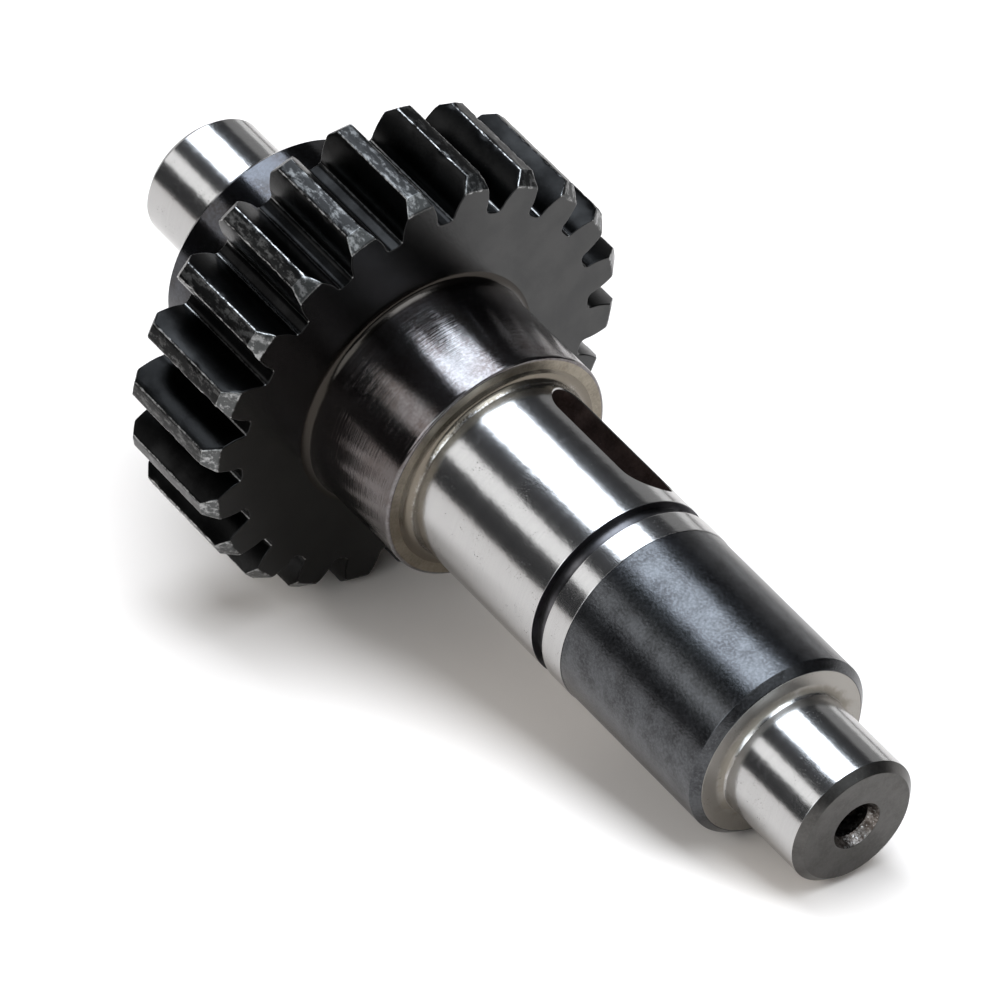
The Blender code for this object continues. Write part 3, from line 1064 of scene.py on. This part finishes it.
def toothOutlines(tips):
    # polar outline (radius, angle) of one pitch, from gap centre to gap centre, for every tip radius:
    # floor, root fillet, involute flank, rounded tip corner (a quadratic curve), tip land, mirrored
    fillet = gear["rootFillet"]
    join = rootRadius + fillet
    joinAngle = halfGap(join)
    out, across = join * math.cos(joinAngle), join * math.sin(joinAngle)
    floorAcross = np.linspace(0, across - fillet, gear["floorPoints"], endpoint=False)
    floor = (out - fillet) + 1j * floorAcross
    turns = np.linspace(math.pi / 2, 0, gear["filletPoints"], endpoint=False)
    bend = out - fillet * np.sin(turns) + 1j * (across - fillet + fillet * np.cos(turns))
    low = np.concatenate([floor, bend])[None, :] * np.ones((len(tips), 1))
    corner = gear["tipRound"]
    shares = np.linspace(0, 1, gear["flankPoints"])
    flankRadius = join + (tips[:, None] - corner - join) * shares
    flank = flankRadius * np.exp(1j * halfGap(flankRadius))
    tip = tips[:, None]
    sharp = tip * np.exp(1j * halfGap(tip))
    landAngle = halfGap(tip) + corner / tip
    landStart = tip * np.exp(1j * landAngle)
    share = np.linspace(0, 1, gear["roundPoints"])[None, 1:]
    before = flank[:, -1:]
    rounded = (1 - share) ** 2 * before + 2 * share * (1 - share) * sharp + share ** 2 * landStart
    landShares = np.linspace(0, 1, gear["landPoints"] + 1)[None, 1:]
    land = tip * np.exp(1j * (landAngle + (toothPitch / 2 - landAngle) * landShares))
    half = np.concatenate([low, flank, rounded, land], axis=1)
    mirrored = np.conj(half) * np.exp(1j * toothPitch)
    pitch = np.concatenate([half, mirrored[:, -2:0:-1]], axis=1)
    fromCorner = np.abs(pitch - sharp)
    fromMirrored = np.abs(pitch - np.conj(sharp) * np.exp(1j * toothPitch))
    cornerDistance = np.minimum(fromCorner, fromMirrored)
    onLand = np.abs(np.angle(pitch) - toothPitch / 2) < (toothPitch / 2 - halfGap(tip)) * 1.02
    return pitch, cornerDistance, onLand


def roundTheShaft(pitch):
    # the same outline at every tooth
    turns = np.exp(1j * toothPitch * np.arange(gear["teeth"]))
    return (pitch[:, None, :] * turns[None, :, None]).reshape(len(pitch), -1)


def outwardNormals(outline):
    run = np.roll(outline, -1, axis=1) - np.roll(outline, 1, axis=1)
    return -1j * run / np.abs(run)


def nickDepths(along, outline, edge):
    # depth = nick depth x nearness to a tooth corner x (nicks + half of the finer pits)
    places = toWorld(np.repeat(along, outline.shape[1]), outline.real.ravel(), outline.imag.ravel()) * metre
    nicks = np.clip(waveNoise(places, gear["nickSize"], 3).reshape(outline.shape) - 0.9, 0, 1)
    pits = np.clip(waveNoise(places, gear["pitSize"], 5).reshape(outline.shape) - 1.1, 0, 1)
    return gear["nickDepth"] * edge * (nicks + 0.5 * pits)


def toothWeights(along, outline, edge, onLand):
    # where the finish changes: bare corners, creases and ends, the worn line along the foot of each
    # flank, the tips, and the bevels at their front ends
    bevelStart = gearFront - gear["frontChamfer"]
    endDistance = np.minimum(along - gearRear, gearFront - along)[:, None]
    crease = np.abs(along - bevelStart)[:, None]
    edge = np.maximum(edge, 0.8 * onLand * np.exp(-(crease / gear["creaseReach"]) ** 2))
    fromRoot = np.abs(outline) - rootRadius
    foot = np.exp(-((fromRoot - gear["footLine"]) / gear["footReach"]) ** 2)
    edge = np.maximum(edge, 0.9 * (foot > 0.3) * np.exp(-(endDistance / gear["wearReach"]) ** 2))
    bevel = onLand * (along > bevelStart - 0.01)[:, None]
    return {"edge": edge, "foot": foot, "tip": onLand * (1 - bevel), "bevel": bevel}


def makeGear():
    # rows of the closed grid: bore, rear face, slices across the teeth, front face, and back to the bore
    along, tips, drawn = gearSlices()
    pitch, cornerDistance, onLand = toothOutlines(tips)
    outline = roundTheShaft(pitch)
    normals = outwardNormals(outline)
    repeat = np.ones(gear["teeth"])
    edge = np.exp(-(np.kron(repeat, cornerDistance) / gear["wearReach"]) ** 2)
    outline = outline - normals * (drawn[:, None] + nickDepths(along, outline, edge))
    teeth = toothWeights(along, outline, edge, np.kron(repeat, onLand))
    angles = np.angle(outline[-1])
    # painted shade on one half of the gear's faces
    soot = sootyHalf(angles, gear)
    collar = shaft["collarRadius"]
    hub = gear["hubFillet"]
    bend = np.radians([0, 22, 45, 68, 90])      # across the fillet from the collar to the face
    hubRadii = list(collar + hub - hub * np.sin(bend)) + [collar - 0.2, gear["boreRadius"]]
    hubRise = list(hub - hub * np.cos(bend)) + [hub + 0.02, hub]
    rows, rowAlong = [], []
    weights = {name: [] for name in ("edge", "foot", "tip", "bevel", "face", "hub", "soot")}

    def addRow(points, place, **given):
        rows.append(points)
        rowAlong.append(np.full(len(points), place))
        for name, listed in weights.items():
            listed.append(given.get(name, 0) + np.zeros(len(points)))

    def addFace(face, sign, outer, outward):
        spokes = np.exp(1j * angles)
        made = [(radius * spokes, face + sign * rise, 1) for radius, rise in zip(hubRadii, hubRise)]
        made = made[::-1] + [(radius * spokes, face, 0) for radius in gear["faceRadii"][::-1]]
        made.append((outer - outward * 0.12, face, 0))
        for points, place, hubWeight in (made if sign < 0 else made[::-1]):
            addRow(points, place, face=1, hub=hubWeight, soot=soot)

    addFace(gearRear, -1, outline[0], normals[0])
    for index, place in enumerate(along):
        onFace = min(1.0, drawn[index] / gear["endRound"])
        here = {name: weight[index] for name, weight in teeth.items()}
        addRow(outline[index], place, face=onFace, soot=soot, **here)
    addFace(gearFront, 1, outline[-1], normals[-1])
    rows = np.array(rows)
    points = toWorld(np.array(rowAlong).ravel(), rows.real.ravel(), rows.imag.ravel())
    quads = gridQuads(len(rows), rows.shape[1], closed=True)
    mesh = meshFrom("gear", points, quads, np.zeros((0, 3), int), [blackGear])
    for name, listed in weights.items():
        setWear(mesh, name, np.array(listed).ravel())
    smoothed(mesh)
    return addPiece(mesh)


makeRearJournal()
makeRearCollar()
makeGear()
makeFrontCollar()
makeKeyedSeat()
makeRingGroove()
makeRingLand()
makeNose()
makeFrontJournal()
print("pieces made")


# Floor, light and camera

stageLook = {
    "floorSize": 12.0,
    "floorTint": (0.84, 0.77, 0.71, 1),
    "seenTint": (0.97, 0.90, 0.835, 1),      # the same floor where the camera looks at it, nearer white
    "surround": (0.04, 0.04, 0.042, 1),
}


def makeStage():
    half = stageLook["floorSize"] / 2
    corners = [(-half, -half, 0), (half, -half, 0), (half, half, 0), (-half, half, 0)]
    mesh = bpy.data.meshes.new("floor")
    mesh.from_pydata(corners, [], [(0, 1, 2, 3)])
    floor = bpy.data.objects.new("floor", mesh)
    bpy.context.scene.collection.objects.link(floor)
    paper = bpy.data.materials.new("whitePaper")
    paper.use_nodes = True
    tree = paper.node_tree
    shader = tree.nodes["Principled BSDF"]
    seen = put(tree, "ShaderNodeLightPath", {}).outputs["Is Camera Ray"]
    tint = blend(tree, seen, stageLook["floorTint"], stageLook["seenTint"])
    tree.links.new(tint, shader.inputs["Base Color"])
    shader.inputs["Roughness"].default_value = 0.9
    shader.inputs["Specular IOR Level"].default_value = 0.1
    mesh.materials.append(paper)
    world = bpy.data.worlds.new("studio")
    world.use_nodes = True
    world.node_tree.nodes["Background"].inputs["Color"].default_value = stageLook["surround"]
    bpy.context.scene.world = world


softboxes = {
    # centre of the light, the way its back points, and its width and height, all in metres, then the
    # brightness and tint of its face
    "overhead": {
        "centre": (0.1, 0.1, 1.19), "back": (0, 0.0001, 1), "size": (2.0, 0.76),
        "bright": 5.4, "tint": (0.89, 0.97, 1.07)},
    "leftStrip": {
        "centre": (-0.505, -0.821, 0.714), "back": (-0.421, -0.684, 0.595), "size": (1.4, 0.38),
        "bright": 1.5, "tint": (1, 1, 1)},
    "rightStrip": {
        "centre": (-0.685, 1.083, 0.216), "back": (-0.527, 0.833, 0.166), "size": (1.4, 0.26),
        "bright": 1.0, "tint": (1, 1, 1)},
    "rightGlow": {
        "centre": (-0.601, 1.009, 0.557), "back": (-0.462, 0.776, 0.428), "size": (1.2, 0.5),
        "bright": 0.3, "tint": (1, 1, 1)},
    "frontFill": {
        "centre": (1.31, 0.1, 0.91), "back": (0.82, 0.06, 0.57), "size": (1.6, 0.9),
        "bright": 0.9, "tint": (0.95, 1, 1.04)},
    "leftFill": {
        "centre": (0.38, -1.28, 0.69), "back": (0.25, -0.85, 0.46), "size": (1.6, 0.8),
        "bright": 2.2, "tint": (0.95, 1, 1.04)},
}


def makeLights():
    # a flat light of face brightness B gives B x pi x area watts
    for name, box in softboxes.items():
        data = bpy.data.lights.new(name, "AREA")
        data.shape = "RECTANGLE"
        data.size, data.size_y = box["size"]
        data.energy = box["bright"] * math.pi * data.size * data.size_y
        data.color = box["tint"]
        light = bpy.data.objects.new(name, data)
        back = Vector(box["back"]).normalized()
        across = Vector((back.y, -back.x, 0)).normalized()
        light.location = box["centre"]
        light.rotation_mode = "QUATERNION"
        light.rotation_quaternion = Matrix((across, back.cross(across), back)).transposed().to_quaternion()
        light.visible_camera = False
        bpy.context.scene.collection.objects.link(light)


view = {
    "azimuth": 52.93,
    "elevation": 29.75,
    "lean": -0.41,              # degrees, about the line of sight
    "distance": 1.1,
    "target": (-0.00643, 0.00222, 0.01875),
    "focalPixels": 9369.7,      # focal length in pixels of the picture
    "pictureWidth": 1000,
    "sensor": 36.0,
}


def makeCamera():
    azimuth, elevation = math.radians(view["azimuth"]), math.radians(view["elevation"])
    level = math.cos(elevation)
    back = Vector((math.sin(azimuth) * level, -math.cos(azimuth) * level, math.sin(elevation)))
    data = bpy.data.cameras.new("camera")
    data.sensor_width = view["sensor"]
    data.lens = view["sensor"] * view["focalPixels"] / view["pictureWidth"]
    camera = bpy.data.objects.new("camera", data)
    camera.location = Vector(view["target"]) + back * view["distance"]
    camera.rotation_mode = "QUATERNION"
    lean = Quaternion((0, 0, 1), math.radians(view["lean"]))
    camera.rotation_quaternion = (-back).to_track_quat("-Z", "Y") @ lean
    bpy.context.scene.collection.objects.link(camera)
    bpy.context.scene.camera = camera


makeStage()
makeLights()
makeCamera()
bpy.context.scene.view_settings.view_transform = "Standard"
bpy.context.scene.view_settings.look = "None"
print("stage, lights and camera made")
